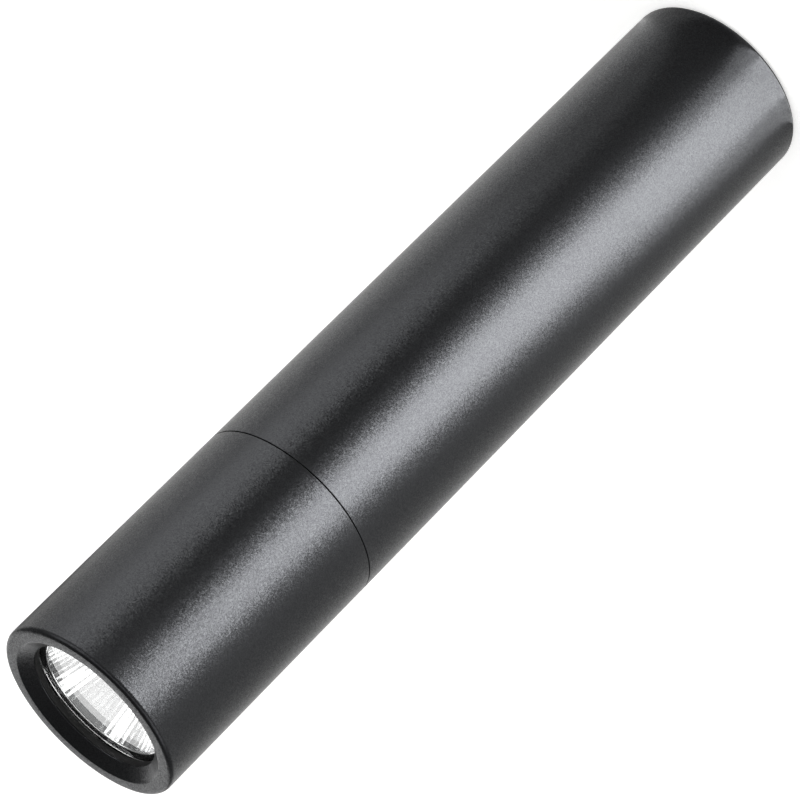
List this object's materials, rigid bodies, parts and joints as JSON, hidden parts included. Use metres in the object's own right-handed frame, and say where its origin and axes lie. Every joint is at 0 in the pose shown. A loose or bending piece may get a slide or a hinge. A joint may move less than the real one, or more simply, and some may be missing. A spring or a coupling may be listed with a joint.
{
  "type": "flashlight",
  "caption": "Slim straight metal torch: smooth tube with a screw-off head, dished bezel, glass lens over a faceted reflector, one cell inside and a push switch in the tail.",
  "frame": {"origin": "centre of the flat tail ring, on the surface the torch stands on", "axes": "+Z along the torch's axis, from the tail to the lens; +X and +Y are across it"},
  "size_m": [0.025, 0.025, 0.12],
  "materials": {
    "anodised_black": "fine bead-blasted, black anodised, satin",
    "bare_aluminium": "turned",
    "cell_metal": "drawn can",
    "mirror": "metallised, faceted",
    "glass": "polished",
    "silicone": "cast",
    "rubber": "moulded, matt",
    "brass": "turned",
    "spring_steel": "nickel plated",
    "white_plastic": "moulded",
    "black_plastic": "moulded",
    "board_green": "solder mask",
    "board_white": "white solder mask",
    "phosphor": "phosphor coat",
    "cell_sleeve": "shrunk film",
    "wire_red": "soft sheath",
    "ferrite": "sintered",
    "ceramic": "fired"
  },
  "bodies": {
    "barrel": {"body_tube": "anodised_black", "neck_seal": "rubber", "switch_boot": "rubber", "boot_washer": "bare_aluminium", "switch_spacer": "white_plastic", "switch_housing": "black_plastic", "switch_base": "white_plastic", "switch_terminal_left": "brass", "switch_terminal_right": "brass", "switch_board": "board_green", "switch_ring": "bare_aluminium", "tail_spring": "spring_steel", "switch_spring": "spring_steel"},
    "button": {"switch_actuator": "white_plastic", "switch_plunger": "white_plastic"},
    "battery": {"cell_can": "cell_metal", "cell_sleeve": "cell_sleeve", "cell_cap": "spring_steel", "cell_insulator": "white_plastic", "cell_protection_board": "board_green"},
    "head": {"head_shell": "anodised_black", "lens_seal": "rubber", "lens": "glass", "reflector": "mirror", "led_gasket": "white_plastic", "led_board": "board_white", "led_package": "phosphor", "led_dome": "silicone", "pill": "brass", "led_wire_positive": "wire_red", "led_wire_negative": "black_plastic", "driver_board": "board_green", "driver_chip": "black_plastic", "driver_inductor": "ferrite", "driver_capacitor": "ceramic", "driver_contact": "brass", "driver_ring": "bare_aluminium"}
  },
  "joints": [
    {"name": "head_unscrew", "type": "slide", "parent": "barrel", "child": "battery", "axis": [0, 0, 1], "range_m": [0, 0.005], "deforming": ["tail_spring"]},
    {"name": "head_twist", "type": "hinge", "parent": "battery", "child": "head", "pos_m": [0, 0, 0.09], "axis": [0, 0, 1], "range_deg": [0, 1800]},
    {"name": "button_press", "type": "slide", "parent": "barrel", "child": "button", "axis": [0, 0, 1], "range_m": [0, 0.0016], "stiffness_N_per_m": 1500, "springref_m": -0.0008, "deforming": ["switch_boot", "switch_spring"]}
  ],
  "couplings": [
    {"joint": "head_twist", "follows": "head_unscrew", "rad_per_m": 6283.2}
  ]
}
